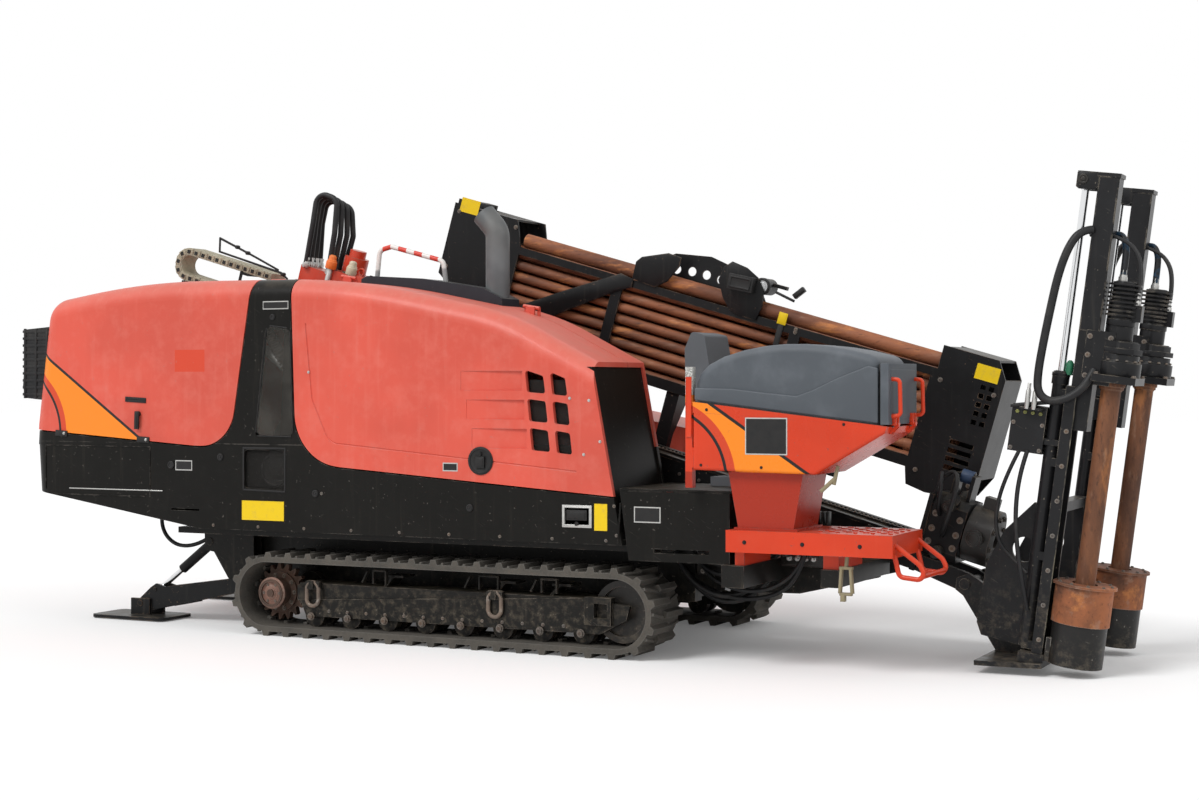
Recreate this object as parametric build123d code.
"""Horizontal directional drill on rubber tracks, as an assembly of separate pieces.

Working frame while modelling, in millimetres: X runs forward to the drilling end, Y to the far side,
Z up from the ground, with Y = 0 on the drill line. At the end every piece is moved along X, so that
the origin is the middle of the machine's footprint.
"""
from build123d import *
from math import atan2, cos, degrees, hypot, pi, radians, sin, tan
import os

os.makedirs("parts", exist_ok=True)

# Overall reach
rear_end_x = -3214.0
half_width = 1050.0

# Running gaps
pin_gap = 0.4
rod_gap = 0.5
move_gap = 6.0
seat_gap = 0.3

# Tracks
track_gauge = 1510.0
belt_width = 350.0
belt_thickness = 30.0
lug_height = 26.0
lug_count = 42
loop_height = 470.0
track_rear_x = -1640.0
track_front_x = 1000.0
track_axle_z = loop_height / 2
rear_axle_x = track_rear_x + loop_height / 2
front_axle_x = track_front_x - loop_height / 2
belt_inner_radius = loop_height / 2 - lug_height - belt_thickness
axle_radius = 38.0
roller_count = 8
roller_radius = 62.0
ring_bar_radius = 11.0
ring_inner_width = 56.0
ring_inner_height = 110.0
socket_side = 76.0
socket_depth = 70.0

# Chassis
beam_y = 400.0
beam_width = 90.0
beam_bottom_z = 262.0
beam_top_z = 556.0
chassis_rear_x = -2050.0
chassis_front_x = 1010.0
deck_thickness = 24.0
deck_top_z = 590.0

# Engine pod on the near side, and the guard on the far side
panel = 26.0
pod_outer_y = -950.0
pod_inner_y = -290.0
pod_rear_x = -3100.0
pod_front_low_x = 820.0
pod_front_top_x = 640.0
pod_round = 110.0
seam_gap = 7.0
hood_inner_y = -505.0
hull_tail_z = 780.0
hull_bend_x = -1850.0

# Thrust frame, laid along the drill line
drill_pitch = 16.0
drill_x = 600.0
drill_z = 1156.0
beam_half_width = 130.0
thrust_beam_low = -262.0
thrust_beam_high = -112.0
thrust_rear_u = -2900.0
thrust_front_u = 1640.0
tilt_u = 1380.0
tilt_w = -187.0
tilt_pin_radius = 36.0

# Drill pipes and their box
pipe_length = 3050.0
pipe_body_radius = 27.0
pipe_joint_radius = 33.0
pipe_pitch = 2 * pipe_joint_radius + 0.6
pipe_rows = 8
pipe_columns = 5
box_near_y = 190.0
box_low_w = 214.0
plate_thick = 12.0

# Anchor masts
mast_lean = 7.5
mast_x = 2800.0
mast_z = 60.0
mast_y = 430.0
mast_stroke = 870.0
inner_mast_side = 100.0
mast_top_q = 2395.0
auger_p = 200.0
auger_radius = 48.0
drum_radius = 140.0
cup_radius = 132.0


def block(x0, x1, y0, y1, z0, z1):
    """Box given by its two limits on each axis."""
    return Pos((x0 + x1) / 2, (y0 + y1) / 2, (z0 + z1) / 2) * Box(abs(x1 - x0), abs(y1 - y0), abs(z1 - z0))


def plate(points, y0, y1):
    """Side plate: an outline in X and Z, thick from y0 to y1."""
    face = Plane.XZ * make_face(Polyline(*points, close=True))
    return Pos(0, y1, 0) * extrude(face, amount=y1 - y0)


def outline(wire, y0, y1):
    """As plate(), from a drawn wire."""
    face = Plane.XZ * make_face(wire.edges())
    return Pos(0, y1, 0) * extrude(face, amount=y1 - y0)


def rod_y(x, z, radius, y0, y1):
    """Round bar across the machine."""
    return Pos(x, (y0 + y1) / 2, z) * Rot(90, 0, 0) * Cylinder(radius, abs(y1 - y0))


def rod_x(y, z, radius, x0, x1):
    """Round bar along X."""
    return Pos((x0 + x1) / 2, y, z) * Rot(0, 90, 0) * Cylinder(radius, abs(x1 - x0))


def rod_z(x, y, radius, z0, z1):
    """Upright round bar."""
    return Pos(x, y, (z0 + z1) / 2) * Cylinder(radius, abs(z1 - z0))


def bent_bar(points, radius, bend):
    """Round bar bent round the given corners."""
    path = FilletPolyline(*points, radius=bend)
    start = Plane(origin=path @ 0, z_dir=path % 0)
    return sweep(start * Circle(radius), path=path)


def mirrored(shape):
    """The same piece on the other side of the drill line."""
    return mirror(shape, about=Plane.XZ)


def both_sides(shape):
    """A piece and its mirror image, as one node's solids."""
    return Compound(children=[shape, mirrored(shape)])


def along_drill(shape):
    """From the thrust frame's own axes, u along the drill line and w square to it, to the machine."""
    return Pos(drill_x, 0, drill_z) * Rot(0, drill_pitch, 0) * shape


def along_mast(shape):
    """From the anchor's own axes, p forward and q up the mast, to the machine."""
    return Pos(mast_x, 0, mast_z) * Rot(0, mast_lean, 0) * shape


def drill_point(u, w):
    """X and Z of a point given on the thrust frame's axes."""
    pitch = radians(drill_pitch)
    return drill_x + u * cos(pitch) + w * sin(pitch), drill_z - u * sin(pitch) + w * cos(pitch)


def mast_point(p, q):
    """X and Z of a point given on the anchor's axes."""
    lean = radians(mast_lean)
    return mast_x + p * cos(lean) + q * sin(lean), mast_z - p * sin(lean) + q * cos(lean)


pieces = {}


def keep(name, shape):
    """Files a finished piece under its node's name."""
    pieces[name] = shape


# Rubber tracks: a belt loop with two staggered rows of lugs
def loop_face(radius):
    """Side outline of a loop at a distance from both axles."""
    return outline(
        SlotCenterToCenter(front_axle_x - rear_axle_x, 2 * radius).wire(), -belt_width / 2, belt_width / 2
    )


track_mid_x = (rear_axle_x + front_axle_x) / 2
straight_run = front_axle_x - rear_axle_x
outer_belt_radius = belt_inner_radius + belt_thickness
belt_length = 2 * straight_run + 2 * pi * outer_belt_radius


def on_loop(distance, radius):
    """Place and outward angle of a point that far along the loop, from the lower rear corner."""
    turn = pi * outer_belt_radius
    distance = distance % belt_length
    if distance < straight_run:
        return rear_axle_x + distance, track_axle_z - radius, -90.0
    distance -= straight_run
    if distance < turn:
        angle = -90.0 + degrees(distance / outer_belt_radius)
        return (
            front_axle_x + radius * cos(radians(angle)),
            track_axle_z + radius * sin(radians(angle)),
            angle,
        )
    distance -= turn
    if distance < straight_run:
        return front_axle_x - distance, track_axle_z + radius, 90.0
    distance -= straight_run
    angle = 90.0 + degrees(distance / outer_belt_radius)
    return rear_axle_x + radius * cos(radians(angle)), track_axle_z + radius * sin(radians(angle)), angle


def track_belt():
    """One belt: loop, outside lugs and inside drive teeth, centred on Y = 0."""
    belt = Pos(track_mid_x, 0, track_axle_z) * (loop_face(outer_belt_radius) - loop_face(belt_inner_radius))
    pitch = belt_length / lug_count
    lug_foot = 52.0
    lug_crest = 30.0
    sink = 6.0
    tooth_height = 14.0
    lugs = []
    for row, shift in ((0, 0.0), (1, 0.5)):
        y0 = -belt_width / 2 if row == 0 else -30.0
        y1 = 30.0 if row == 0 else belt_width / 2
        for index in range(lug_count):
            x, z, angle = on_loop((index + shift) * pitch, outer_belt_radius - sink)
            crest = lug_height + sink
            shape = plate(
                [(0, -lug_foot / 2), (crest, -lug_crest / 2), (crest, lug_crest / 2), (0, lug_foot / 2)], y0, y1
            )
            lugs.append(Pos(x, 0, z) * Rot(0, -angle, 0) * shape)
    for index in range(lug_count):
        x, z, angle = on_loop((index + 0.25) * pitch, belt_inner_radius + 2)
        tooth = block(-tooth_height - 2, 0, -28, 28, -12, 12)
        lugs.append(Pos(x, 0, z) * Rot(0, -angle, 0) * tooth)
    whole = belt.fuse(*lugs)
    ground = block(track_rear_x - 50, track_front_x + 50, -belt_width, belt_width, -60, 0)
    return (whole - ground).clean()


keep("track_belts", both_sides(Pos(0, -track_gauge / 2, 0) * track_belt()))

# Sprockets at the rear: toothed plate, hub motor and bolt ring
sprocket_teeth = 17
sprocket_root = 128.0
sprocket_tip = 160.0
hub_radius = 78.0
near_y = -track_gauge / 2
track_outer_y = near_y - belt_width / 2
frame_y0 = near_y - 100.0
frame_y1 = near_y + 100.0


def sprocket():
    """Drive sprocket with the hub motor that turns it, for the near side."""
    step = 2 * pi / sprocket_teeth
    points = []
    for tooth in range(sprocket_teeth):
        for share, radius in ((0.0, sprocket_root), (0.28, sprocket_root), (0.42, sprocket_tip), (0.62, sprocket_tip)):
            angle = (tooth + share) * step
            points.append((radius * cos(angle), radius * sin(angle)))
    disc = plate(points, -18, 18)
    hub = rod_y(0, 0, hub_radius, -128, 60) - rod_y(0, 0, hub_radius - 14, -128.5, -112)
    cap = rod_y(0, 0, 22, -134, -100)
    flange = rod_y(0, 0, 112, -34, 30)
    bolts = [Pos(95 * cos(a), 0, 95 * sin(a)) * rod_y(0, 0, 9, -42, -30) for a in [i * pi / 5 for i in range(10)]]
    shaft = rod_y(0, 0, axle_radius, 50, 300)
    return Pos(rear_axle_x, near_y, track_axle_z) * (disc + hub + cap + flange + bolts + shaft)


keep("drive_sprockets", both_sides(sprocket()))

# Idlers at the front
idler_radius = belt_inner_radius - 16.0
idler_wheel = rod_y(front_axle_x, track_axle_z, idler_radius, near_y - 66, near_y + 66)
idler_groove = rod_y(front_axle_x, track_axle_z, idler_radius + 1, near_y - 34, near_y + 34)
idler_core = rod_y(front_axle_x, track_axle_z, idler_radius - 20, near_y - 34, near_y + 34)
idler_dish = rod_y(front_axle_x, track_axle_z, idler_radius - 34, near_y - 67, near_y - 48)
idler_axle = rod_y(front_axle_x, track_axle_z, 27, near_y - 100, near_y + 100)
keep("idler_wheels", both_sides((idler_wheel - idler_groove - idler_dish) + idler_core + idler_axle))

# Track frames: box beam, guard plate with rollers, socket at the front, lifting rings
side_beam_low = 186.0
side_beam_high = 300.0
side_beam_rear_x = rear_axle_x + sprocket_tip + 22
side_beam_front_x = front_axle_x - 20
fork_gap = 8.0


def track_frame():
    """Near side frame that carries the idler, rollers and rings."""
    beam = block(side_beam_rear_x, side_beam_front_x - idler_radius, frame_y0, frame_y1, side_beam_low, side_beam_high)
    guard_points = [
        (side_beam_rear_x + 10, side_beam_low + 20),
        (side_beam_rear_x + 50, 118),
        (front_axle_x - 110, 118),
        (front_axle_x + 40, 196),
        (front_axle_x + 60, side_beam_high - 30),
        (front_axle_x - 210, side_beam_high),
    ]
    inner = fork_gap + 66
    guards = plate(guard_points, near_y - 112, near_y - inner - 12) + plate(guard_points, near_y + inner + 12, near_y + 112)
    axle_hole = rod_y(front_axle_x, track_axle_z, 27 + pin_gap, near_y - 101, near_y + 101)
    frame = beam + guards - axle_hole
    rollers = []
    first, last = side_beam_rear_x + 90, front_axle_x - 216
    for index in range(roller_count):
        x = first + (last - first) * index / (roller_count - 1)
        z = belt_thickness + lug_height + seat_gap + roller_radius
        rollers.append(rod_y(x, z, roller_radius, near_y - 84, near_y - 34))
        rollers.append(rod_y(x, z, roller_radius, near_y + 34, near_y + 84))
        rollers.append(rod_y(x, z, 34, near_y - 35, near_y + 35))
        rollers.append(rod_y(x, z, 13, near_y - 122, near_y + 122))
    frame = frame.fuse(*rollers)
    top_z = side_beam_high
    for x in (-700.0, 0.0, 330.0):
        prop = plate([(x, top_z - 5), (x + 20, top_z - 5), (x + 70, top_z + 52), (x + 50, top_z + 52)], near_y - 60, near_y + 60)
        skid = block(x + 20, x + 130, near_y - 60, near_y + 60, top_z + 50, top_z + 62)
        frame = frame + prop + skid
    outboard = frame_y0 - 34
    nose = block(front_axle_x - 190, front_axle_x - 38, outboard, frame_y0 + 20, side_beam_low - 20, side_beam_high + 10)
    socket = block(front_axle_x - 134, front_axle_x - 134 + socket_side, outboard - 1, outboard + socket_depth - 30, 202, 202 + socket_side)
    frame = frame + nose - socket
    inboard = [block(x - 70, x + 70, frame_y1 - 10, -beam_y - beam_width / 2, side_beam_low + 6, side_beam_high - 14) for x in (-900.0, 350.0)]
    return frame.fuse(*inboard).clean()


ring_z = side_beam_high - 16


def lifting_ring(x):
    """Oblong forged link hanging in a lug welded to the near side beam."""
    half = ring_inner_width / 2 + ring_bar_radius
    drop = ring_inner_height + 2 * ring_bar_radius
    slot = SlotOverall(drop, 2 * half, rotation=90).wire()
    path = Plane.XZ * slot
    y = frame_y0 - 26
    start = Plane(origin=path @ 0, z_dir=path % 0)
    link = sweep(start * Circle(ring_bar_radius), path=path)
    link = Pos(x, y, ring_z - drop / 2 + ring_bar_radius + 14) * link
    seat = ring_z + 14 - seat_gap
    lug = rod_y(x, seat - 12, 12, frame_y0 - 46, frame_y0 + 1)
    lip = block(x - 14, x + 14, frame_y0 - 46, frame_y0 - 39, seat - 26, seat + 20)
    return link, lug + lip


ring_links = [lifting_ring(x) for x in (-1120.0, 40.0)]
near_frame = track_frame()
for link, lug in ring_links:
    near_frame = near_frame + lug
keep("track_frames", both_sides(near_frame))
keep("lifting_rings", Compound(children=[s for link, lug in ring_links for s in (link, mirrored(link))]))

# Chassis: two deep beams, cross beams, deck, and the front boom that carries the thrust frame
pivot_x, pivot_z = drill_point(tilt_u, tilt_w)
ear_y0 = beam_half_width + 8 + move_gap
ear_thick = 34.0
lift_base = (330.0, 470.0)
stab_y = 515.0
stab_pivot = (-1800.0, 232.0)
stab_top = (-2075.0, 478.0)
stab_pin = 22.0


def chassis():
    """Welded frame between the tracks."""
    beam = plate(
        [
            (chassis_rear_x + 60, beam_bottom_z + 130),
            (chassis_rear_x + 250, beam_bottom_z - 60),
            (-1500, beam_bottom_z - 60),
            (-1400, beam_bottom_z),
            (chassis_front_x, beam_bottom_z),
            (chassis_front_x, beam_top_z),
            (chassis_rear_x, beam_top_z),
        ],
        -beam_y - beam_width / 2,
        -beam_y + beam_width / 2,
    )
    frame = beam + mirrored(beam)
    inner = beam_y - beam_width / 2
    for x0, x1, top_z in ((-1990.0, -1900.0, 496.0), (-960.0, -840.0, 496.0), (280.0, 400.0, 400.0), (900.0, 1010.0, 496.0)):
        frame = frame + block(x0, x1, -inner - 5, inner + 5, beam_bottom_z + 20, top_z)
    frame = frame + block(chassis_rear_x, chassis_front_x, pod_outer_y + panel + 40, -pod_outer_y - panel - 40, beam_top_z - 1, deck_top_z - seat_gap)
    ear = plate(
        [
            (880, beam_bottom_z + 30),
            (1500, beam_bottom_z + 40),
            (pivot_x + 60, pivot_z - 190),
            (pivot_x + 76, pivot_z + 40),
            (pivot_x, pivot_z + 86),
            (pivot_x - 86, pivot_z + 40),
            (1540, beam_top_z - 60),
            (880, beam_top_z),
        ],
        -ear_y0 - ear_thick,
        -ear_y0,
    )
    frame = frame + ear + mirrored(ear)
    frame = frame + block(1380, 1500, -ear_y0 - 5, ear_y0 + 5, beam_bottom_z + 50, beam_bottom_z + 190)
    outrigger = block(1380, 1500, -980, -ear_y0 - 20, beam_top_z - 150, beam_top_z - 40) + block(1900, 1990, -980, -ear_y0 - 20, 430, 516)
    frame = frame + outrigger + rod_y(pivot_x, pivot_z, tilt_pin_radius, -ear_y0 - ear_thick - 30, ear_y0 + ear_thick + 30)
    for side in (-1, 1):
        y = side * 60
        frame = frame + plate(
            [(lift_base[0] - 46, 390), (lift_base[0] + 60, 390), (lift_base[0] + 50, lift_base[1] + 36), (lift_base[0], lift_base[1] + 60), (lift_base[0] - 40, lift_base[1] + 36)],
            y - 12,
            y + 12,
        )
    frame = frame + rod_y(lift_base[0], lift_base[1] + 20, 22, -80, 80)
    for side in (-1, 1):
        for offset in (-1, 1):
            y = side * stab_y + offset * 38
            cheek = plate(
                [(stab_top[0] - 36, stab_top[1] - 50), (stab_top[0] + 30, stab_top[1] - 60), (stab_pivot[0] - 90, stab_pivot[1] - 40), (stab_pivot[0] - 20, stab_pivot[1] - 46), (stab_pivot[0] + 46, stab_pivot[1] + 20), (-1760, beam_top_z), (stab_top[0] - 40, beam_top_z)],
                y - 4,
                y + 4,
            )
            frame = frame + cheek
        frame = frame + block(-2110, -1766, side * (stab_y - 95), side * (stab_y + 46), beam_top_z - 24, beam_top_z + 4)
        frame = frame + rod_y(stab_pivot[0], stab_pivot[1], stab_pin, side * stab_y - 64, side * stab_y + 64)
        frame = frame + rod_y(stab_top[0], stab_top[1], stab_pin, side * stab_y - 48, side * stab_y + 48)
    frame = frame - block(-430, 420, -100, 100, beam_top_z - 10, deck_top_z + 1)
    axle_hole = rod_y(rear_axle_x, track_axle_z, axle_radius + pin_gap, -beam_y - beam_width, -beam_y + beam_width)
    housing = rod_y(rear_axle_x, track_axle_z, 90, -beam_y - 90, -beam_y - 40)
    frame = frame + housing + mirrored(housing) - axle_hole - mirrored(axle_hole)
    return frame.clean()


keep("chassis", chassis())


# Engine pod: one skin cut into lower hull, pillar, two hoods, top cover and front bulkhead
pod_low_z = deck_top_z
pod_tail = (pod_rear_x + 26, hull_tail_z)
pod_waist = (pod_rear_x, 1150.0)
pod_rear_top = (-2996.0, 1905.0)
pod_top_points = [(-2300.0, 2012.0), (-900.0, 2000.0), (110.0, 1800.0)]
pod_front_top = (pod_front_top_x, 1530.0)
pod_bends = [400.0, 150.0, 5200.0, 4400.0, 1500.0]


def pod_solid(inset):
    """Solid pod, its rear and top edges rounded; inset shrinks it evenly for the inside of the skin."""
    tail = (pod_tail[0] + inset, pod_tail[1] + inset)
    front_top = (pod_front_top[0] - inset, pod_front_top[1] - inset)
    crown = FilletPolyline(
        tail,
        (pod_waist[0] + inset, pod_waist[1]),
        (pod_rear_top[0] + inset, pod_rear_top[1] - inset),
        *[(x, z - inset) for x, z in pod_top_points],
        front_top,
        radius=pod_bends,
    )
    base = Polyline(front_top, (pod_front_low_x - inset, pod_low_z + inset), (hull_bend_x, pod_low_z + inset), tail)
    body = outline(crown + base, pod_outer_y + inset, pod_inner_y - inset)
    shoulder = [
        edge
        for edge in body.edges()
        if abs(edge.center().Y - (pod_outer_y + inset)) < 1 and edge.center().Z > 900 and edge.center().X < 640
    ]
    return fillet(shoulder, pod_round - inset)


front_opening = block(560, 1000, pod_outer_y + panel, pod_inner_y - panel, pod_low_z + panel, pod_front_top[1] - panel)
pod_skin = pod_solid(0) - pod_solid(panel) - front_opening
pod_outside = pod_solid(-seat_gap)
wide = (pod_outer_y - 50, pod_inner_y + 50)


def rounded(points, radii):
    """Closed outline with each corner rounded."""
    return FilletPolyline(*points, radius=radii, close=True)


def grown(points, radii, gap):
    """A hood's outline, wider all round by the seam."""
    face = offset(make_face(rounded(points, radii)), amount=gap)
    return Pos(0, wide[1], 0) * extrude(Plane.XZ * face, amount=wide[1] - wide[0])


hood_rear_line = [(-3300.0, 1159.0), (-1882.0, 1062.0), (-1640.0, 1062.0), (-1455.0, 2200.0), (-3300.0, 2200.0)]
hood_rear_bends = [1, 20, 230, 1, 1]
hood_front_line = [(-1225.0, 2200.0), (-1185.0, 1000.0), (-900.0, 958.0), (900.0, 829.0), (900.0, 2200.0)]
hood_front_bends = [1, 300, 60, 1, 1]
hood_rear_zone = outline(rounded(hood_rear_line, hood_rear_bends), *wide)
hood_front_zone = outline(rounded(hood_front_line, hood_front_bends), *wide)
near_part = block(-3400, 1000, pod_outer_y - 60, hood_inner_y, 800, 2300)
near_hole = block(-3400, 1000, pod_outer_y - 60, hood_inner_y + seam_gap, 800, 2300)
hood_holes = (grown(hood_rear_line, hood_rear_bends, seam_gap) + grown(hood_front_line, hood_front_bends, seam_gap)) & near_hole

grille_rows, grille_columns = 3, 2
grille_cell_w, grille_cell_h, grille_step_x, grille_step_z = 108.0, 118.0, 148.0, 152.0
grille_x0, grille_z0 = 300.0, 1068.0
scoop_depth = 16.0
swage_line = [(-1120.0, 1750.0), (-1075.0, 1330.0), (-960.0, 1090.0), (560.0, 962.0)]
swage_bend, swage_radius = 90.0, 5.0


def hood_front():
    """Near side engine cover: side and shoulder in one, with the outlet grille and a pressed swage line."""
    hood = pod_skin & hood_front_zone & near_part
    cuts = []
    for column in range(grille_columns):
        for row in range(grille_rows):
            x = grille_x0 + column * grille_step_x - row * 14
            z = grille_z0 + row * grille_step_z - column * 12
            top_drop = 26 if row == grille_rows - 1 else 6
            width = grille_cell_w * (1.0 if column == 0 else 0.82)
            cell = [(x, z), (x + width, z - 8), (x + width - 14, z + grille_cell_h - top_drop - 8), (x - 14, z + grille_cell_h)]
            cuts.append(outline(rounded(cell, [14, 14, 14, 14]), pod_outer_y - 10, pod_outer_y + panel + 10))
    hood = hood - cuts
    for row in range(grille_rows):
        z = grille_z0 + 8 + row * grille_step_z
        x0, x1 = -60.0 - row * 34, grille_x0 - 30 - row * 14
        wedge = [(x0, pod_outer_y - 1), (x1, pod_outer_y - 1), (x1, pod_outer_y + scoop_depth), (x0, pod_outer_y + 2)]
        face = make_face(Polyline(*wedge, close=True).edges())
        hood = hood - Pos(0, 0, z) * extrude(face, amount=104)
    groove = FilletPolyline(*swage_line, radius=swage_bend)
    path = Pos(0, pod_outer_y, 0) * (Plane.XZ * groove)
    start = Plane(origin=path @ 0, z_dir=path % 0)
    return hood - sweep(start * Circle(swage_radius), path=path)


# Hinges along the pod's top: X, height of the pod's top there, and height of the hinge line
hinge_y = hood_inner_y + seam_gap / 2
hinge_pin, hinge_barrel = 6.0, 10.0
rear_hinges = [(-2300.0, 1990.0, 2019.0), (-1620.0, 2000.0, 2019.0)]
front_hinges = [(-1130.0, 1990.0, 2028.0), (60.0, 1795.0, 1836.0)]


def hinge_set(places):
    """Knuckles for the hood, and lugs with their pin for the spine."""
    slope = (places[1][2] - places[0][2]) / (places[1][0] - places[0][0])
    knuckles, lugs = [], []

    def along(x, z, radius, reach0, reach1):
        turn = degrees(atan2(1, slope))
        return Pos(x, hinge_y, z) * Rot(0, turn, 0) * rod_z(0, 0, radius, reach0, reach1)

    for x, top_z, line_z in places:
        knuckles.append(along(x, line_z, hinge_barrel, -30, 30))
        knuckles.append(block(x - 26, x + 26, hinge_y - 20, hinge_y - 6, top_z - 20, line_z))
        lugs.append(along(x, line_z, hinge_pin, -50, 50))
        for side in (-1, 1):
            lugs.append(along(x, line_z, hinge_barrel, *sorted((side * 31, side * 50))))
            lugs.append(block(x + side * 40 - 7, x + side * 40 + 7, hinge_y + 5, hinge_y + 18, top_z - 20, line_z + side * 40 * slope))
    bores = [along(x, line_z, hinge_pin + pin_gap, -60, 60) for x, _, line_z in places]
    return knuckles, lugs, bores


rear_knuckles, rear_lugs, rear_bores = hinge_set(rear_hinges)
front_knuckles, front_lugs, front_bores = hinge_set(front_hinges)
keep("hood_front", (hood_front().fuse(*front_knuckles)) - front_bores)
keep("hood_rear", ((pod_skin & hood_rear_zone & near_part).fuse(*rear_knuckles)) - rear_bores)

# Pod panels that stay: lower hull, pillar with its window, spine with the inner wall, front bulkhead
panel_split_z = 1075.0
hull_rest = pod_skin - hood_holes
hull_window = rounded([(-1535, 830), (-1262, 822), (-1262, 1044), (-1535, 1044)], [20, 20, 20, 20])
pillar_window = rounded([(-1462, 1120), (-1290, 1120), (-1262, 1718), (-1392, 1718)], [24, 24, 24, 24])
lower_hull = hull_rest & block(-3400, 1000, *wide, 0, panel_split_z)
lower_hull = lower_hull - outline(hull_window, pod_outer_y - 10, pod_outer_y + panel + 10)
hull_slot = block(-2050, -1850, pod_outer_y - 1, pod_outer_y + panel + 1, 690, 700)
tow_eye = rod_y(pod_tail[0] - 60, 960, 44, -620, -600) - rod_y(pod_tail[0] - 60, 960, 22, -630, -590)
tow_eye = tow_eye + (block(pod_tail[0] - 40, pod_tail[0] + 30, -640, -580, 930, 990) - pod_solid(2) - rod_y(pod_tail[0] - 60, 960, 22, -650, -570))
keep("lower_hull", lower_hull - hull_slot + tow_eye)
pillar = hull_rest & block(-1900, -900, pod_outer_y - 50, hood_inner_y + seam_gap - seat_gap, panel_split_z + seat_gap, 2300)
keep("pod_pillar", pillar - outline(pillar_window, pod_outer_y - 10, pod_outer_y + panel + 20))
spine = hull_rest & block(-3400, 1000, hood_inner_y + seam_gap, pod_inner_y + 50, panel_split_z + seat_gap, 2300)
keep("pod_spine", spine.fuse(*rear_lugs, *front_lugs))
front_run = (pod_front_low_x - pod_front_top_x) / (pod_front_top[1] - pod_low_z)
bulkhead_low = pod_low_z + panel + seat_gap
bulkhead_high = pod_front_top[1] - panel - seat_gap


def front_x(z, inset):
    """X of the pod's front face at a height, moved inwards."""
    return pod_front_low_x - (z - pod_low_z) * front_run - inset


bulkhead = plate(
    [(front_x(bulkhead_low, 12), bulkhead_low), (front_x(bulkhead_high, 12), bulkhead_high), (front_x(bulkhead_high, 22), bulkhead_high), (front_x(bulkhead_low, 22), bulkhead_low)],
    pod_outer_y + panel + seat_gap,
    pod_inner_y - panel - seat_gap,
)
keep("front_bulkhead", bulkhead - pod_skin)


# Rear air case: ribbed box on the rear hood
def rear_case():
    """Intake case behind the rear hood, with its ribs cut across."""
    body = plate([(-2960, 1310), (-3196, 1330), (rear_end_x, 1400), (-3186, 1744), (-2960, 1760)], -892, -522)
    slots = [block(rear_end_x - 10, rear_end_x + 30 + i * 3, -880, -534, 1356 + i * 48, 1380 + i * 48) for i in range(8)]
    return body - pod_outside - slots


keep("rear_air_case", rear_case())

# Top cover, exhaust stack and grab rail
stack_x, stack_y, stack_radius, stack_wall = -208.0, -400.0, 67.0, 5.0
cover_points = [(-1050, 1900), (-1050, 2016), (-1010, 2034), (-640, 2010), (-250, 1948), (-130, 1888), (-123, 1780)]
cover_body = plate(cover_points, hood_inner_y + seam_gap + 4, pod_inner_y - 4)
cover_body = fillet(cover_body.edges().filter_by(Axis.Y).group_by(Axis.Z)[-1], 24)
top_cover = cover_body - pod_outside - rod_z(stack_x, stack_y, stack_radius + 1.5, 1700, 2100)
keep("top_cover", top_cover)


def exhaust_stack():
    """Upright pipe whose mouth bends to the rear."""
    path = FilletPolyline((stack_x, stack_y, 1760), (stack_x, stack_y, 2268), (stack_x - 88, stack_y, 2365), radius=100)
    start = Plane(origin=path @ 0, z_dir=path % 0)
    outer = sweep(start * Circle(stack_radius), path=path)
    bore = sweep(start * Circle(stack_radius - stack_wall), path=path)
    return outer - bore - pod_outside


keep("exhaust_stack", exhaust_stack())
rail_path = [(-1012, -400, 1940), (-985, -400, 2185), (-905, -400, 2204), (-560, -400, 2112), (-532, -400, 1900)]
keep("grab_rail", bent_bar(rail_path, 14, 40) - (Pos(0, 0, seat_gap) * cover_body) - pod_outside)

# Engine inside the pod, plain
engine_low = pod_low_z + panel + seat_gap
engine = block(-1250, -430, -800, -440, engine_low, 1250) + block(-1150, -520, -740, -500, 1250, 1480)
engine = engine + rod_x(-620, 1000, 250, -1420, -1249) + block(-1420, -1250, -700, -540, engine_low, 800)
keep("engine_block", engine)

# Front deck box between pod and console
deck_box_x0, deck_box_x1 = 838.0, 1412.0
deck_box_z = 883.0


def front_deck():
    """Open-bottomed box with its outer side plate down to the frame."""
    side = plate([(deck_box_x0 + 20, 516), (deck_box_x1, 516), (deck_box_x1, deck_box_z - 14), (deck_box_x0 - 30, deck_box_z - 14)], pod_outer_y, pod_outer_y + 10)
    inner = block(deck_box_x0, deck_box_x1, -344, -334, 600, deck_box_z - 14)
    top = block(deck_box_x0 - 30, deck_box_x1 + 8, pod_outer_y, -334, deck_box_z - 12, deck_box_z)
    front = block(deck_box_x1 - 10, deck_box_x1, pod_outer_y, -334, 516.0 + seat_gap, deck_box_z - 10)
    box = side + inner + top + front - pod_outside
    return box - block(1000, 1300, -980, -900, 560, 580)


keep("front_deck", front_deck())

# Far side body: tanks and covers in one closed housing
far_points = [(-2600, 780), (-2060, 590), (1000, 590), (1000, 1050), (940, 1090), (-900, 1430), (-2440, 1430), (-2600, 1320)]
far_body = plate(far_points, 450, half_width)
far_body = fillet(far_body.edges().filter_by(Axis.Y).group_by(Axis.Z)[-1], 30)
far_doors = [block(x, x + 8, half_width - 4, half_width + 1, 640, 1400) for x in (-1700, -760, 160)]
keep("far_side_body", far_body - far_doors - block(-1500, -960, half_width - 30, half_width + 5, 900, 912))

# Platform, console tub with its pedestal, lid, handles and seat
step_low, step_high = 589.0, 697.0
console_y0, console_y1 = -half_width, -half_width + 470.0
console_mid_y = (console_y0 + console_y1) / 2
console_half = (console_y1 - console_y0) / 2


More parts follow.
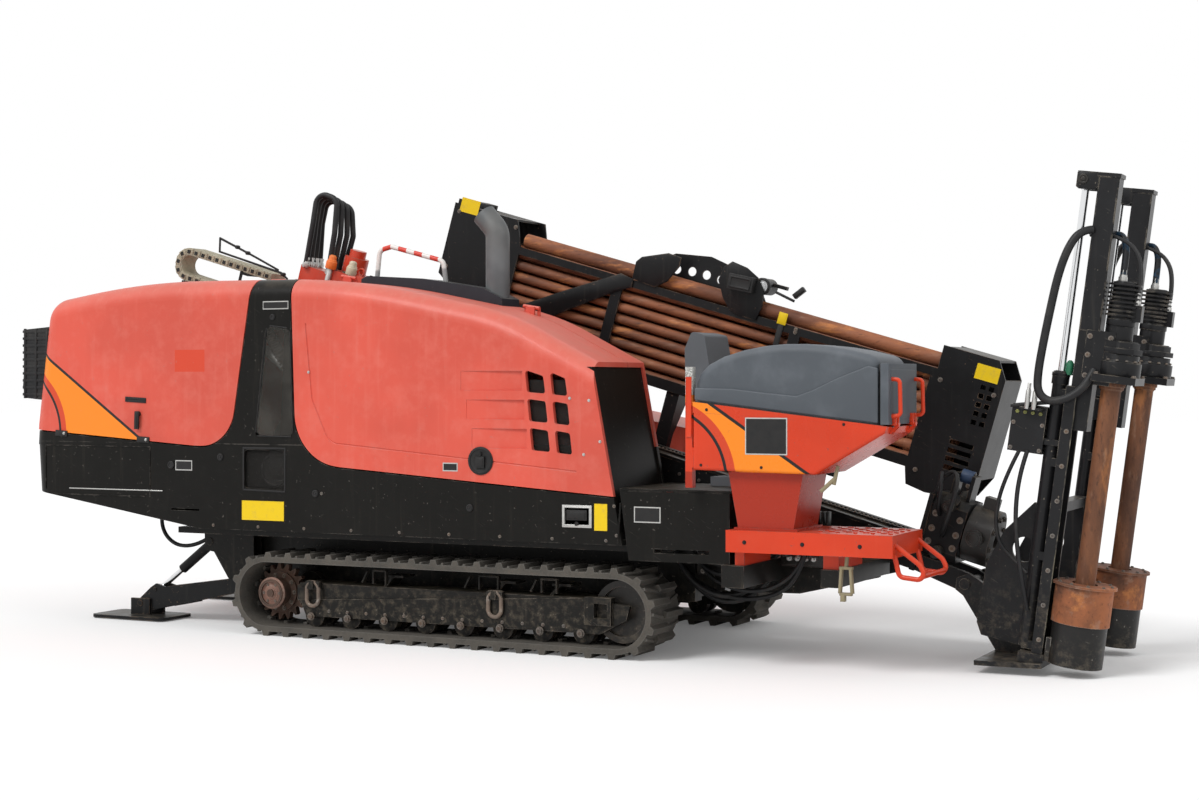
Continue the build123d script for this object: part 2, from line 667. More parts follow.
def platform():
    """Sheet platform turned down all round, its legs on the frame, with two foot loops in front."""
    inner_y = console_y1 + 20
    sheet = block(1432, 2282, console_y0, inner_y, step_low, step_high) - block(1442, 2272, console_y0 + 10, inner_y - 10, step_low - 1, step_high - 10)
    ribs = [block(x, x + 12, console_y0 + 5, inner_y - 5, step_low + 10, step_high - 5) for x in (1800.0, 2080.0)]
    legs = [block(x, x + width, console_y0 + 90, console_y1 - 20, 516 + seat_gap, step_high - 5) for x, width in ((1445.0, 50.0), (1905.0, 80.0))]
    frame = sheet + ribs + legs
    loop_y = (console_y0 + 50, console_y1 - 40)
    for y in loop_y:
        frame = frame + bent_bar([(2276, y, 650), (2400, y, 560), (2440, y, 486), (2300, y, 500), (2276, y, 600)], 12, 30)
    return frame + rod_y(2412, 505, 12, *loop_y)


keep("step_platform", platform())

tub_points = [(1255, 989), (1893, 977), (2240, 1180), (2256, 1212), (1255, 1276)]
tub_inner_points = [(1267, 1001), (1889, 989), (2228, 1188), (2240, 1300), (1267, 1300)]
lid_hinge = (2272.0, 1224.0)
lid_hinge_y = (console_y0 + 95, console_y1 - 95)


def console_tub():
    """Operator's console: open tub on a waisted pedestal, with the control panel inside."""
    tub = plate(tub_points, console_y0, console_y1)
    tub = fillet([e for e in tub.edges() if e.center().Z < 1180 and abs(abs(e.center().Y - console_mid_y) - console_half) < 1], 16)
    tub = tub - plate(tub_inner_points, console_y0 + 12, console_y1 - 12)
    pedestal = plate([(1426, 982), (1817, 982), (1766, 700), (1479, 700)], console_y0 + 50, console_y1 - 70) - plate([(1446, 1000), (1800, 1000), (1750, 690), (1497, 690)], console_y0 + 62, console_y1 - 82)
    foot = block(1460, 1790, console_y0 + 40, console_y1 - 60, step_high + seat_gap, step_high + 12)
    tub = tub + pedestal + foot
    tub = tub + block(1262, 2150, console_y0 + 5, console_y1 - 5, 1150, 1162) + block(1500, 1900, console_mid_y - 90, console_mid_y + 90, 1160, 1200)
    for y in lid_hinge_y:
        tub = tub + plate([(2228, 1176), (2252, 1176), (2286, 1212), (2284, 1230), (2267, 1230), (2267, 1213), (2252, 1203)], y - 10, y + 10)
    post = block(1212, 1250, console_y0 + 10, console_y0 + 50, 900, 1500) + block(1212, 1262, console_y0 + 10, console_y0 + 50, 1000, 1100)
    for y in lid_hinge_y:
        tub = tub + rod_y(*lid_hinge, 8, y - 36, y + 36)
    return tub + post


def console_lid():
    """Grey moulded lid, hinged along its front edge."""
    shape = plate([(1258, 1283), (2262, 1219), (2246, 1500), (2180, 1560), (1790, 1612), (1420, 1520), (1277, 1440)], console_y0, console_y1)
    rim = [e for e in shape.edges() if e.center().Z > 1300 and abs(abs(e.center().Y - console_mid_y) - console_half) < 1]
    shape = fillet(rim, 46)
    inner = plate([(1270, 1200), (2248, 1150), (2234, 1494), (2172, 1547), (1790, 1598), (1426, 1508), (1289, 1432)], console_y0 + 12, console_y1 - 12)
    lid = shape - inner
    knuckles = []
    for y in lid_hinge_y:
        for side in (-1, 1):
            inner = y + side * 11
            knuckles.append(plate([(2250, 1236), (2264, 1212), (2282, 1212), (2284, 1234), (2256, 1290)], *sorted((inner, inner + side * 20))))
    lid = lid.fuse(*knuckles)
    return lid - rod_y(*lid_hinge, 8 + pin_gap, console_y0 + 20, console_y1 - 20)


keep("console_tub", console_tub())
keep("console_lid", console_lid())
handle_bars = [bent_bar([(2252, y, 1440), (2302, y, 1436), (2306, y, 1266), (2262, y, 1262)], 10, 20) for y in (console_y0 + 50, console_y1 - 48)]
lid_front = plate([(1300, 1219 - seat_gap), (2262 + seat_gap, 1219 - seat_gap), (2246 + seat_gap, 1500), (1300, 1560)], console_y0, console_y1)
keep("console_handles", Compound(children=[bar - lid_front for bar in handle_bars]))

seat = block(1130, 1400, -520, -350, deck_box_z + seat_gap, 930) + rod_z(1265, -435, 45, 925, 1130) + block(1080, 1440, -560, -240, 1125, 1215)
seat_back = plate([(1010, 1215), (1120, 1200), (1140, 1500), (1110, 1672), (1040, 1690), (1000, 1600)], -560, -240)
seat = seat + fillet(seat_back.edges().filter_by(Axis.Y), 20) + block(1120, 1380, -575, -545, 1380, 1420) + block(1120, 1160, -575, -545, 1200, 1400)
keep("operator_seat", seat)


# Thrust frame: box beam on its pivot, with rails, rack, box brackets and the arms to the anchor
arm_y0, arm_y1 = 92.0, 126.0
hinge_u, hinge_w = 1930.0, -240.0
hinge_x, hinge_z = drill_point(hinge_u, hinge_w)
hinge_radius = 28.0
lift_eye_u, lift_eye_w = -892.0, -312.0
rail_top_w = thrust_beam_high + 16.0
rack_pitch = 48.0
bracket_places = (-1080.0, -60.0, 760.0)


def thrust_frame():
    """Beam along the drill line, in its own axes."""
    beam = block(thrust_rear_u, thrust_front_u, -beam_half_width, beam_half_width, thrust_beam_low, thrust_beam_high)
    beam = beam - block(thrust_rear_u - 5, thrust_front_u - 12, -beam_half_width + 12, beam_half_width - 12, thrust_beam_low + 12, thrust_beam_high - 12)
    for side in (-1, 1):
        beam = beam + block(thrust_rear_u, 1560, side * 96, side * (beam_half_width + 8), thrust_beam_high - 1, rail_top_w)
    rack = block(thrust_rear_u + 20, 1560, 40, 66, thrust_beam_high - 1, thrust_beam_high + 12)
    beam = beam + rack
    beam = beam + block(thrust_rear_u, thrust_rear_u + 30, -120, 120, thrust_beam_high - 1, -40)
    head = block(thrust_front_u - 14, thrust_front_u + 12, -165, 165, thrust_beam_low, 150)
    beam = beam + head - rod_x(0, 0, 62, thrust_front_u - 40, thrust_front_u + 40)
    beam = beam - rod_y(tilt_u, tilt_w, tilt_pin_radius + pin_gap, -beam_half_width - 9, beam_half_width + 9)
    tube = rod_y(tilt_u, tilt_w, tilt_pin_radius + 24, -beam_half_width + 1, beam_half_width - 1)
    beam = beam + (tube - rod_y(tilt_u, tilt_w, tilt_pin_radius + pin_gap, -beam_half_width, beam_half_width))
    for side in (-1, 1):
        y0, y1 = sorted((side * arm_y0, side * arm_y1))
        arm = plate(
            [(thrust_front_u - 4, thrust_beam_low), (hinge_u, hinge_w - 52), (hinge_u + 52, hinge_w - 20), (hinge_u + 52, hinge_w + 26), (hinge_u - 10, hinge_w + 50), (thrust_front_u - 4, thrust_beam_high - 64)],
            y0,
            y1,
        )
        beam = beam + (arm - rod_y(hinge_u, hinge_w, hinge_radius + pin_gap, -200, 200))
        y0, y1 = sorted((side * 40, side * 58))
        lug = plate([(lift_eye_u - 80, thrust_beam_low + 4), (lift_eye_u - 36, lift_eye_w - 34), (lift_eye_u + 36, lift_eye_w - 34), (lift_eye_u + 80, thrust_beam_low + 4)], y0, y1)
        beam = beam + lug
    beam = beam + rod_y(lift_eye_u, lift_eye_w, 22, -66, 66)
    for u in bracket_places:
        bracket = block(u - 40, u + 40, beam_half_width - 1, 262, -250, -150) + block(u - 40, u + 40, 202, 262, -151, box_low_w - 14.0 - seat_gap)
        brace_face = Plane.YZ * make_face(Polyline((258, -250), (430, box_low_w - 14.3), (258, box_low_w - 14.3), close=True))
        brace = Pos(u - 10, 0, 0) * extrude(brace_face, amount=20)
        beam = beam + bracket + brace
    return beam.clean()


keep("thrust_frame", along_drill(thrust_frame()))

# Pipe box beside the thrust frame, open along its sides
half_pipe = pipe_length / 2
box_rear_u, box_front_u = -half_pipe - 217, half_pipe + 234
floor_rear_u, floor_front_u = -half_pipe + 207, half_pipe + 95
box_inner_y0 = box_near_y + plate_thick
box_inner_y1 = box_inner_y0 + pipe_columns * pipe_pitch + 1
box_far_y = box_inner_y1 + plate_thick
box_top_w = 755.0
end_top_w = box_top_w + 150
front_top_w = box_top_w + 129
rail_depth = 44.0


def pipe_box():
    """Frame of the box: floor beams, posts, rails, diagonal braces and the plated ends."""
    y0, y1 = box_near_y, box_far_y
    floor = block(floor_rear_u, floor_front_u, y0, y1, box_low_w - 14, box_low_w)
    for u0, u1 in ((-900, -200), (0, 700), (860, 1300)):
        floor = floor - block(u0, u1, y0 + 60, y1 - 60, box_low_w - 20, box_low_w + 5)
    box = floor
    for near, far in ((y0, box_inner_y0), (box_inner_y1, y1)):
        box = box + block(floor_rear_u, floor_front_u, near, far, box_low_w - 14, box_low_w + 46)
        box = box + block(floor_rear_u, floor_front_u, near, far, box_top_w - rail_depth, box_top_w)
        for u in (-560, 560):
            box = box + block(u - 32, u + 32, near, far, box_low_w, box_top_w)
        for u0, u1 in ((-1290, -590), (-520, 530)):
            if near > y0 or u0 < -600:
                brace = [(u0, box_low_w + 40), (u0 + 70, box_low_w + 40), (u1 + 30, box_top_w - 40), (u1 - 40, box_top_w - 40)]
                box = box + plate(brace, near, far)
        rear = [(box_rear_u, 470), (box_rear_u + 120, 398), (box_rear_u + 302, 398), (floor_rear_u + 18, box_low_w - 14), (box_rear_u + 502, box_low_w - 14), (box_rear_u + 502, box_top_w), (box_rear_u + 442, end_top_w), (box_rear_u, end_top_w)]
        box = box + plate(rear, near, far)
        edge_u = box_front_u - 370
        front = [(edge_u, 110), (edge_u + 111, 97), (box_front_u - 59, 120), (box_front_u, 240), (box_front_u, box_top_w + 35), (box_front_u - 59, front_top_w), (edge_u, front_top_w), (edge_u, box_top_w), (edge_u - 29, box_top_w), (edge_u - 29, box_low_w - 14)]
        box = box + plate(front, near, far)
    box = box + block(box_rear_u, box_rear_u + plate_thick, y0, y1, 470, end_top_w)
    box = box + block(box_rear_u + 20, box_rear_u + 90, y0, y1, end_top_w - 12, end_top_w + 29)
    box = box + block(box_rear_u + 150, box_rear_u + 412, y0, y1, end_top_w - 12, end_top_w)
    box = box + block(box_front_u - plate_thick, box_front_u, y0, y1, 240, box_top_w + 35)
    box = box + block(box_front_u - 339, box_front_u - 59, y0, y1, front_top_w - 12, front_top_w)
    holes = []
    for row in range(5):
        for column in range(2):
            u = box_front_u - 119 + column * 46
            holes.append(block(u, u + 28, y0 - 5, y0 + plate_thick + 5, 520 + row * 48, 546 + row * 48))
    for row in range(4):
        holes.append(block(box_front_u - 199, box_front_u - 69, y0 - 5, y0 + plate_thick + 5, 250 + row * 46, 276 + row * 46))
    slats = [block(box_rear_u + 42 + i * 44, box_rear_u + 58 + i * 44, y0 + 20, y1 - 20, end_top_w - 15, end_top_w + 35) for i in range(8)]
    box = box - holes - slats
    sleeves = []
    for u in shuttle_places:
        sleeve = block(u - 62, u + 62, 300, y1, 118, box_low_w - 14)
        sleeves.append(sleeve - block(u - 40.4, u + 40.4, 290, y1 + 10, 149.6, 190.4))
    return box.fuse(*sleeves).clean()


shuttle_places = (-760.0, 960.0)
keep("pipe_box", along_drill(pipe_box()))


def drill_pipe():
    """One pipe: slim body, thicker joints, hollow, with a shoulder at the pin end."""
    half = pipe_length / 2
    pipe = rod_x(0, 0, pipe_body_radius, -half, half)
    for end in (-1, 1):
        u0, u1 = sorted((end * (half - 210), end * half))
        pipe = pipe + rod_x(0, 0, pipe_joint_radius, u0, u1)
    return pipe - rod_x(0, 0, 12, half - 150, half + 1) - rod_x(0, 0, 12, -half - 1, -half + 150)


one_pipe = drill_pipe()
pipe_stack = []
for row in range(pipe_rows):
    for column in range(pipe_columns):
        y = box_inner_y0 + seat_gap + pipe_joint_radius + column * pipe_pitch
        w = box_low_w + seat_gap + pipe_joint_radius + row * pipe_pitch
        pipe_stack.append(along_drill(Pos(0, y, w) * one_pipe))
keep("drill_pipes", Compound(children=pipe_stack))

top_tube_radius = 42.0
top_tube_w = box_top_w + seat_gap + top_tube_radius
top_tube = rod_x(box_near_y + 60, top_tube_w, top_tube_radius, box_rear_u + 506, box_front_u - 373)
top_tube = top_tube - rod_x(box_near_y + 60, top_tube_w, top_tube_radius - 6, box_rear_u + 505, box_front_u - 372)
keep("top_tube", along_drill(top_tube))
arch_y0 = box_near_y + 60 + top_tube_radius + seat_gap
arch_holes = [rod_y(u, box_top_w + 65 + 70 * (1 - ((u + 83) / 420) ** 2), r, 200, 400) for u, r in ((-360, 22), (-270, 26), (-175, 26), (-83, 26), (10, 26), (105, 26), (195, 22))]
arch_line = [(-527, seat_gap), (-440, 115), (-300, 207), (-83, 243), (140, 207), (280, 115), (361, seat_gap)]
arch = plate([(u, box_top_w + rise) for u, rise in arch_line], arch_y0, arch_y0 + 10)
arch = arch + block(-500, 330, arch_y0 - 10, box_far_y, box_top_w + seat_gap, box_top_w + 12) - rod_x(box_near_y + 60, top_tube_w, top_tube_radius + seat_gap, -600, 400)
lamp_w = box_top_w + 135
lamp = block(150, 320, arch_y0 - 60, arch_y0 + 8, lamp_w, lamp_w + 36) + rod_y(300, lamp_w + 30, 46, arch_y0 - 70, arch_y0 + 30) + block(280, 420, arch_y0 - 30, arch_y0, lamp_w + 40, lamp_w + 60)
keep("arch_bracket", along_drill(arch - arch_holes + lamp))


def pipe_shuttle():
    """Two arms under the box with hooked ends, each in its own sleeve; they carry a pipe to the drill line."""
    arms = []
    for u in shuttle_places:
        arm = block(u - 40, u + 40, 192, box_far_y + 30, 150, 190)
        hook = block(u - 30, u + 30, 192, 204, 30, 151) + block(u - 30, u + 30, 192, 226, 24, 36)
        arms.append(arm + hook)
    return Compound(children=arms)


keep("pipe_shuttle", along_drill(pipe_shuttle()))


def vise():
    """Fixed vise bolted to the head plate, with a pipe guide roller on its top."""
    u0 = thrust_front_u + 12 + seat_gap
    body = block(u0, 1840, -150, 150, -165, 150)
    body = chamfer(body.edges().filter_by(Axis.X), 40)
    body = body - rod_x(0, 0, 45, u0 - 5, 1900) - rod_x(0, 0, 90.5, 1822, 1900)
    jaws = Pos(1745, 0, 0) * Rot(0, 0, 0) * (Rot(45, 0, 0) * rod_z(0, 0, 42, 100, 215) + Rot(-45, 0, 0) * rod_z(0, 0, 42, 100, 215))
    roller = block(1700, 1720, -60, 60, 120, 285) + block(1790, 1810, -60, 60, 120, 285) + rod_x(0, 270, 30, 1719, 1791)
    return body + jaws + roller


def wrench():
    """Turning wrench: ring with two lugs and jaw housings."""
    ring = rod_x(0, 0, 150, 1846, 1985) - rod_x(0, 0, 45, 1800, 2000)
    hub = rod_x(0, 0, 90, 1824, 1850) - rod_x(0, 0, 45, 1800, 2000)
    lugs = block(1880, 1950, -40, 40, 140, 205) - rod_x(0, 178, 14, 1800, 2000)
    jaws = Pos(1915, 0, 0) * (Rot(90, 0, 0) * rod_z(0, 0, 38, 120, 182) + Rot(-90, 0, 0) * rod_z(0, 0, 38, 120, 182))
    face = [Pos(1985, 118 * cos(a), 118 * sin(a)) * Rot(0, 90, 0) * Cylinder(11, 24) for a in [i * pi / 4 + pi / 8 for i in range(8)]]
    return ring + hub + lugs + jaws + face


keep("fixed_vise", along_drill(vise()))
keep("turning_wrench", along_drill(wrench()))

# Carriage with its gearbox, motors, hoses and spindle
carriage_half = 178.0
carriage_rear_u, carriage_front_u = -2600.0, -2078.0
spindle_face_u = -1760.0


def carriage():
    """Sled on the rails with the rotation gearbox bolted on."""
    sled = block(carriage_rear_u + 40, carriage_front_u, -carriage_half, carriage_half, rail_top_w + seat_gap, -40)
    sled = sled - block(carriage_rear_u, carriage_front_u + 10, 30, 76, rail_top_w - 10, rail_top_w + 20)
    for side in (-1, 1):
        y0, y1 = sorted((side * (beam_half_width + 8 + rod_gap), side * carriage_half))
        sled = sled + block(carriage_rear_u + 60, carriage_front_u - 30, y0, y1, thrust_beam_high - 36, rail_top_w + 10)
        y0, y1 = sorted((side * (beam_half_width + rod_gap + 0.5), side * carriage_half))
        sled = sled + block(carriage_rear_u + 60, carriage_front_u - 30, y0, y1, thrust_beam_high - 38, thrust_beam_high - 1 - rod_gap)
    gearbox = block(-2300, carriage_front_u - 10, -150, 150, -41, 190)
    gearbox = gearbox + rod_x(0, 30, 128, -2300, carriage_front_u + 16)
    return sled + gearbox - rod_x(0, 0, 55.5, -2230, carriage_front_u + 30)


def carriage_motors():
    """Red rotation motors and pump block on the gearbox."""
    u0 = -2300 - seat_gap
    motors = []
    for y in (-84.0, 84.0):
        motors.append(rod_x(y, 96, 66, -2560, u0) + rod_x(y, 96, 46, -2610, -2559) + block(-2520, -2420, y - 40, y + 40, 150, 210))
    body = motors[0] + motors[1] + block(-2420, -2330, -96, 96, 60, 150)
    top = block(-2290, -2120, -120, 120, 190 + seat_gap, 330) + rod_z(-2205, 0, 74, 325, 430) + rod_z(-2205, 0, 50, 428, 474)
    valve = block(-2540, -2330, -70, 70, 150, 300)
    return body + valve + top + block(-2335, -2285, -60, 60, 195, 290)


def carriage_hoses():
    """Four hoses that arch over the motors."""
    hoses = []
    for index, y in enumerate((-78.0, -30.0, 22.0, 72.0)):
        reach = index * 12
        points = [(-2500, y, 290), (-2520 - reach, y, 560), (-2551, y * 0.8, 752 - reach), (-2400 + reach, y * 0.8, 742 - reach), (-2352 + reach, y, 540), (-2330 + 0.2 * reach, y, 290)]
        hoses.append(bent_bar(points, 17, 60))
    return hoses


sled = carriage()
motors = carriage_motors()
keep("drill_carriage", along_drill(sled))
keep("rotation_motors", along_drill(motors))
hose_loops = Compound(children=[along_drill(hose - motors) for hose in carriage_hoses()])
keep("carriage_hoses", hose_loops)


def spindle():
    """Drive spindle with its flange and thread saver."""
    shaft = rod_x(0, 0, 55, -2225, -1900) + rod_x(0, 0, 84, -2040, -1996) + rod_x(0, 0, 46, -1905, spindle_face_u)
    flats = block(-1990, -1930, -60, 60, 46, 70) + block(-1990, -1930, -60, 60, -70, -46)
    bolts = [Pos(-2040, 68 * cos(a), 68 * sin(a)) * Rot(0, 90, 0) * Cylinder(7, 16) for a in [i * pi / 4 for i in range(8)]]
    thread = rod_x(0, 0, 24, spindle_face_u - 1, spindle_face_u + 70)
    return shaft - flats + bolts + thread


keep("drive_spindle", along_drill(spindle()))

# Energy chain laid in a loop behind the beam
chain_y0, chain_y1 = -70.0, 70.0
chain_low_w, chain_high_w = -20.0, 190.0


def energy_chain():
    """Loop of links on its tray."""
    radius = (chain_high_w - chain_low_w) / 2
    middle_w = (chain_high_w + chain_low_w) / 2
    rear_u = -3470 + radius
    front_u = -2735.0
    path = SlotCenterToCenter(2 * (front_u - rear_u), 2 * radius).wire()
    loop = outline(path, chain_y0, chain_y1) - outline(SlotCenterToCenter(2 * (front_u - rear_u), 2 * (radius - 46)).wire(), chain_y0 - 1, chain_y1 + 1)
    loop = Pos(front_u, 0, middle_w) * loop - block(front_u, front_u + 2000, -100, 100, -400, 400)
    grooves = [block(rear_u + 20 + i * 46, rear_u + 26 + i * 46, chain_y0 - 1, chain_y0 + 8, -100, 300) for i in range(14)]
    grooves += [block(rear_u + 20 + i * 46, rear_u + 26 + i * 46, chain_y0 - 1, chain_y1 + 1, chain_high_w - 6, 300) for i in range(14)]
    return loop - grooves


def chain_tray():
    """Tray bolted on the beam's rear end, and the bracket that holds the loop's upper end."""
    tray = block(-3380, thrust_rear_u - seat_gap, -84, 84, -34, chain_low_w - seat_gap)
    tray = tray + block(thrust_rear_u - 60, thrust_rear_u - seat_gap, -84, 84, -240, -30)
    gusset = plate([(-3200, -34), (thrust_rear_u - 20, -34), (thrust_rear_u - 20, -230)], -8, 8)
    holder = block(-2960, -2946, -84, -70 - seat_gap, -34, 150) + block(-2960, -2900, -84, 84, chain_high_w - 60, chain_high_w - 46 - seat_gap)
    return tray + gusset + holder


keep("energy_chain", along_drill(energy_chain()))
keep("chain_tray", along_drill(chain_tray()))

# Tilt cylinder between the frames
base_x, base_z = lift_base[0], lift_base[1] + 20
eye_x, eye_z = drill_point(lift_eye_u, lift_eye_w)


def strut(start, end, radius, d0, d1, y=0.0):
    """Round bar on the line between two points of X and Z, from d0 to d1 along it."""
    length = hypot(end[0] - start[0], end[1] - start[1])
    pitch = degrees(atan2(end[0] - start[0], end[1] - start[1]))
    return Pos(start[0], y, start[1]) * Rot(0, pitch, 0) * rod_z(0, 0, radius, d0, d1)


def cylinder_pair(base, eye, outer, rod, base_pin, eye_pin, half, y, barrel_length, rod_inside, slack):
    """Barrel and rod of a hydraulic cylinder: eyes at both ends, rod free in the bore."""
    length = hypot(eye[0] - base[0], eye[1] - base[1])
    barrel = strut(base, eye, outer, 20, barrel_length, y) + rod_y(*base, base_pin + 15, y - half, y + half)
    barrel = barrel - strut(base, eye, rod + rod_gap, base_pin + 26, barrel_length + 5, y)
    barrel = barrel - rod_y(*base, base_pin + pin_gap, y - outer - 5, y + outer + 5)
    shaft = strut(base, eye, rod, rod_inside, length - slack - eye_pin - 4, y) + rod_y(*eye, eye_pin + slack + 10, y - half + 2, y + half - 2)
    return barrel, shaft - rod_y(*eye, eye_pin + slack, y - half - 5, y + half + 5)


tilt_barrel, tilt_rod = cylinder_pair((base_x, base_z), (eye_x, eye_z), 46, 28, 22, 22, 34, 0.0, 560, 300, 4.0)
keep("tilt_barrel", tilt_barrel)
keep("tilt_rod", tilt_rod)

# Stabilizers at the rear
pad_pin = (-2570.0, 92.0)
lift_pin = (-2470.0, 178.0)
for name, side in (("near", -1), ("far", 1)):
    y = side * stab_y
    barrel, shaft = cylinder_pair(stab_top, lift_pin, 29, 16, stab_pin, 11, 29, y, 290, 226, 10.0)
    keep(f"stabilizer_barrel_{name}", barrel)
    keep(f"stabilizer_rod_{name}", shaft)


def stabilizer_arm():
    """Two side plates on the pivot, tied at the foot, with the ground pad; near side."""
    x0, z0 = stab_pivot
    points = [(x0 + 44, z0 - 10), (x0 + 30, z0 + 36), (x0 - 20, z0 + 46), (-2400, 196), (lift_pin[0] + 6, lift_pin[1] + 34), (lift_pin[0] - 34, lift_pin[1] + 10), (pad_pin[0] - 36, pad_pin[1] + 10), (pad_pin[0] - 30, 52), (pad_pin[0] + 40, 44), (x0 - 60, z0 - 46), (x0 + 20, z0 - 44)]
    arm = plate(points, -stab_y - 57, -stab_y - 44) + plate(points, -stab_y + 44, -stab_y + 57)
    arm = arm - rod_y(x0, z0, stab_pin + pin_gap, -stab_y - 70, -stab_y + 70)
    arm = arm + rod_y(*lift_pin, 11, -stab_y - 62, -stab_y + 62)
    arm = arm + plate([(pad_pin[0] - 30, 52), (pad_pin[0] + 30, 46), (pad_pin[0] + 40, 70), (pad_pin[0] - 34, 76)], -stab_y - 50, -stab_y + 50)
    arm = arm + plate([(-2330, 92), (-2200, 118), (-2200, 108), (-2330, 82)], -stab_y - 50, -stab_y + 50)
    pad = block(-2850, -2310, -560 - 150, -560 + 150, 6, 24)
    pad = fillet(pad.edges().filter_by(Axis.Z), 40)
    cleats = block(-2640, -2500, -stab_y - 75, -stab_y - 57.5, 20, 120) + block(-2640, -2500, -stab_y + 57.5, -stab_y + 75, 20, 120)
    return arm + pad + cleats + rod_y(*pad_pin, 18, -stab_y - 80, -stab_y + 80)


near_arm = stabilizer_arm()
keep("stabilizer_arm_near", near_arm)
keep("stabilizer_arm_far", mirrored(near_arm))

# Anchor: frame with guides, stake cups and drums, masts, drives and stakes
guide_low_q, guide_high_q = 40.0, 1360.0
guide_flange = 54.0
mast_low_q = 1150.0
cylinder_p = -46.0
flight_radius, flight_pitch, flight_turns = 110.0, 110.0, 3
drum_low_q, drum_high_q = 225.0, 420.0


def anchor_half():
    """Guide, cylinder barrel and foot of the near mast, in anchor axes."""
    y = -mast_y
    guide = block(0, 12, y - 74, y + 74, guide_low_q, guide_high_q)
    for side in (-1, 1):
        y0, y1 = sorted((y + side * 60, y + side * 74))
        guide = guide + block(0, guide_flange, y0, y1, guide_low_q, guide_high_q)
    barrel = rod_z(cylinder_p, y, 36, 70, 1400) + rod_z(cylinder_p, y, 42, 1360, 1400)
    clamps = [block(-60, 2, y - 34, y + 34, q, q + 40) for q in (60, 500, 960, 1300)]
    half = guide + barrel + clamps
    half = half - rod_z(cylinder_p, y, 18 + rod_gap, 560, 1401)
    foot = block(-60, guide_flange + 12, y - 90, y + 90, 0, guide_low_q + 10)
    cheek = plate([(-330, 120), (-300, 60), (-40, 40), (2, 60), (2, 760), (-120, 760), (-250, 600), (-320, 420)], y + 118, y + 138)
    window = rod_y(-140, 520, 62, y + 100, y + 150)
    return half + foot + (cheek - window) + block(-60, 4, y + 70, y + 125, 60, 760)


def anchor_frame():
    """Both halves, their cross members, base plate, hinge ears and control box, in the machine's axes."""
    near = anchor_half()
    frame = near + mirrored(near)
    frame = frame + block(-60, 0, -mast_y + 70, mast_y - 70, 60, 190)
    frame = frame + block(-60, 0, -mast_y + 70, mast_y - 70, 1180, 1290)
    frame = frame + block(-60, 0, -mast_y + 70, mast_y - 70, 720, 770)
    frame = frame + (block(-90, -10, -mast_y - 40, -mast_y + 40, 1060, 1090) - rod_z(cylinder_p, -mast_y, 30, 1050, 1100))
    frame = frame + block(-250, -80, -mast_y - 50, -mast_y + 70, 1010, 1240)
    frame = along_mast(frame)
    frame = frame + block(2540, 2866, -560, 560, 40, 64)
    ear = plate([(hinge_x - 50, hinge_z - 30), (hinge_x - 10, hinge_z - 60), (2560, 44), (2780, 44), (2800, 240), (2600, 330), (hinge_x + 20, hinge_z + 54), (hinge_x - 44, hinge_z + 30)], -166, -132)
    frame = frame + ear + mirrored(ear)
    frame = frame + rod_y(hinge_x, hinge_z, hinge_radius, -178, 178)
    return frame - block(2700, 3400, -200, 200, 450, 640)


keep("anchor_frame", anchor_frame())


def stake_parts():
    """Cup and drum round a stake, in anchor axes, near side."""
    y = -mast_y
    cup = rod_z(auger_p, y, cup_radius, 20, drum_low_q) - rod_z(auger_p, y, cup_radius - 10, 19, drum_low_q + 1)
    saddle = block(guide_flange + 12 + seat_gap, 90, y - 80, y + 80, 24, guide_low_q + 100) - rod_z(auger_p, y, cup_radius - 1, 0, 400)
    drum = rod_z(auger_p, y, drum_radius, drum_low_q + seat_gap, drum_high_q) + rod_z(auger_p, y, drum_radius + 14, drum_high_q - 12, drum_high_q)
    drum = drum - rod_z(auger_p, y, drum_radius - 12, drum_low_q - 5, drum_high_q - 14) - rod_z(auger_p, y, 62, drum_low_q, drum_high_q + 5)
    drum = drum - block(-100, guide_flange + 2, y - 200, y + 200, 0, 600)
    return cup + saddle, drum


def stake():
    """Anchor stake: round shaft with a helical flight that stays inside the drum."""
    shaft = rod_z(0, 0, auger_radius, 60, 1460)
    start_q = 72.0
    height = flight_pitch * flight_turns
    spiral = Pos(0, 0, start_q) * Helix(pitch=flight_pitch, height=height, radius=(auger_radius + flight_radius) / 2)
    section = Plane(origin=spiral @ 0, x_dir=(1, 0, 0), z_dir=spiral % 0) * Rectangle(flight_radius - auger_radius + 12, 9)
    flight = sweep(section, path=spiral, is_frenet=True)
    point = Pos(0, 0, 46) * Cone(12, auger_radius, 30)
    return shaft + flight + point


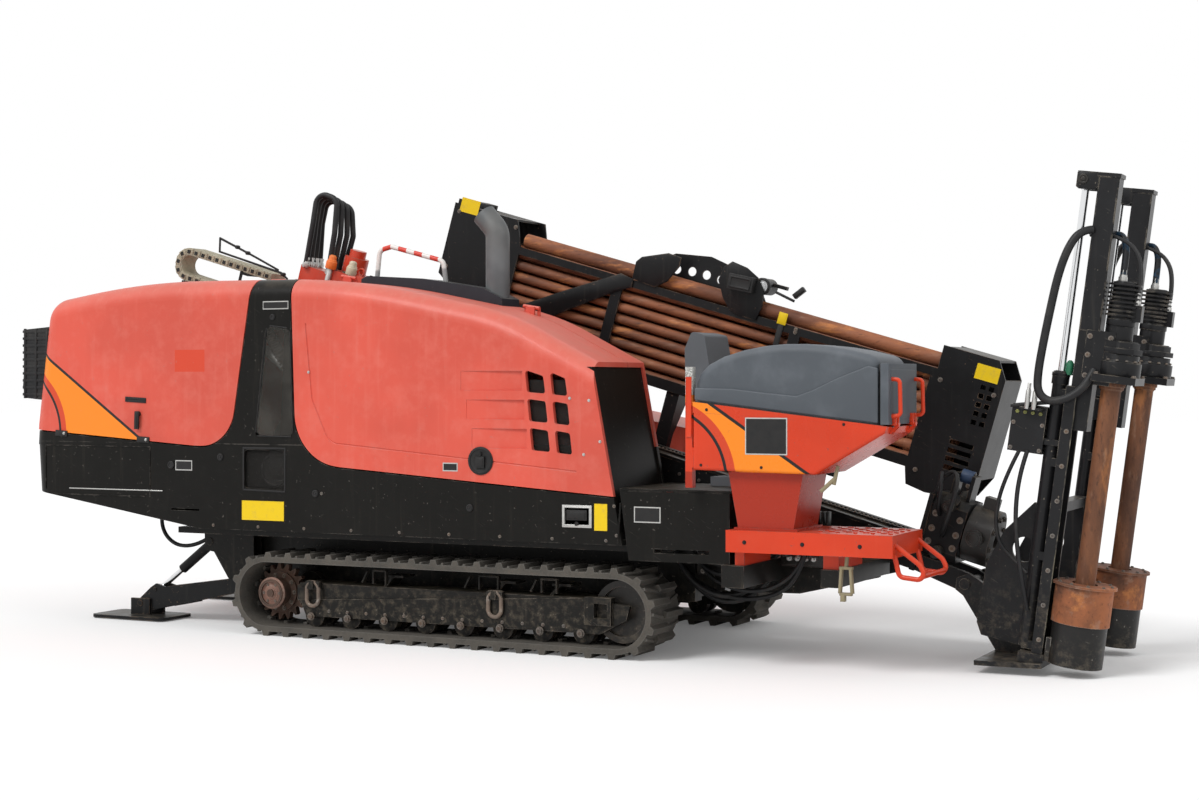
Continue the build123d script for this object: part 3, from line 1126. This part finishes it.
def mast():
    """Sliding box mast with its shoes and the bracket over the cylinder, near side."""
    y = -mast_y
    half = inner_mast_side / 2
    body = block(20, 120, y - half, y + half, mast_low_q, mast_top_q)
    body = body - block(28, 112, y - half + 8, y + half - 8, mast_low_q - 5, mast_top_q - 30)
    holes = [rod_y(70, q, 14, y - 100, y + 100) for q in range(1650, 2320, 110)]
    shoes = block(12 + rod_gap, 21, y - 59.5, y + 59.5, mast_low_q, mast_low_q + 60) + block(12 + rod_gap, 21, y - 59.5, y + 59.5, 1290, 1350)
    shoes = shoes + block(12 + rod_gap, 50, y - 59.5, y - half + 1, mast_low_q, 1350) + block(12 + rod_gap, 50, y + half - 1, y + 59.5, mast_low_q, 1350)
    cap = block(-84, 21, y - 44, y + 44, 2340, mast_top_q) + block(12, 126, y - half - 6, y + half + 6, mast_top_q - 20, mast_top_q)
    return body - holes + shoes + cap


def mast_rod():
    """Chrome rod that pushes the mast."""
    return rod_z(cylinder_p, -mast_y, 18, 1290, 2340 - seat_gap)


def mast_drive():
    """Plate, gearbox and motor that turn the stake."""
    y = -mast_y
    half = inner_mast_side / 2
    deck = block(120 + seat_gap, 330, y - 118, y + 118, 1400, 1436)
    wraps = block(62, 200, y - half - 14, y - half - seat_gap, 1380, 1640) + block(62, 200, y + half + seat_gap, y + half + 14, 1380, 1640)
    gearbox = rod_z(auger_p, y, 78, 1436, 1600) + rod_z(auger_p, y, 60, 1598, 1800) + rod_z(auger_p + 8, y, 44, 1798, 1877)
    ports = block(240, 300, y - 30, y + 30, 1700, 1780)
    whole = deck + wraps + gearbox + ports - block(0, 120 + seat_gap, y - half - seat_gap, y + half + seat_gap, 1300, 2400)
    return whole - rod_z(auger_p, y, auger_radius + rod_gap, 1390, 1470)


cup, drum = stake_parts()
keep("stake_cups", both_sides(along_mast(cup)))
keep("stake_drums", both_sides(along_mast(drum)))
stake_near = along_mast(Pos(auger_p, -mast_y, 0) * stake())
mast_pieces = {"mast": mast(), "mast_rod": mast_rod(), "mast_drive": mast_drive()}
for name, shape in mast_pieces.items():
    near = along_mast(shape)
    keep(f"{name}_near", near)
    keep(f"{name}_far", mirrored(near))
keep("anchor_stake_near", stake_near)
keep("anchor_stake_far", along_mast(Pos(auger_p, mast_y, 0) * stake()))


if __name__ == "__main__":
    boxes = [shape.bounding_box() for shape in pieces.values()]
    mid_x = (min(box.min.X for box in boxes) + max(box.max.X for box in boxes)) / 2
    print("middle of the footprint at", round(mid_x, 3))
    for name, shape in pieces.items():
        export_step(Pos(-mid_x, 0, 0) * shape, f"parts/{name}.step")
        print(name, len(shape.solids()), round(shape.volume / 1e6, 1), "litres")
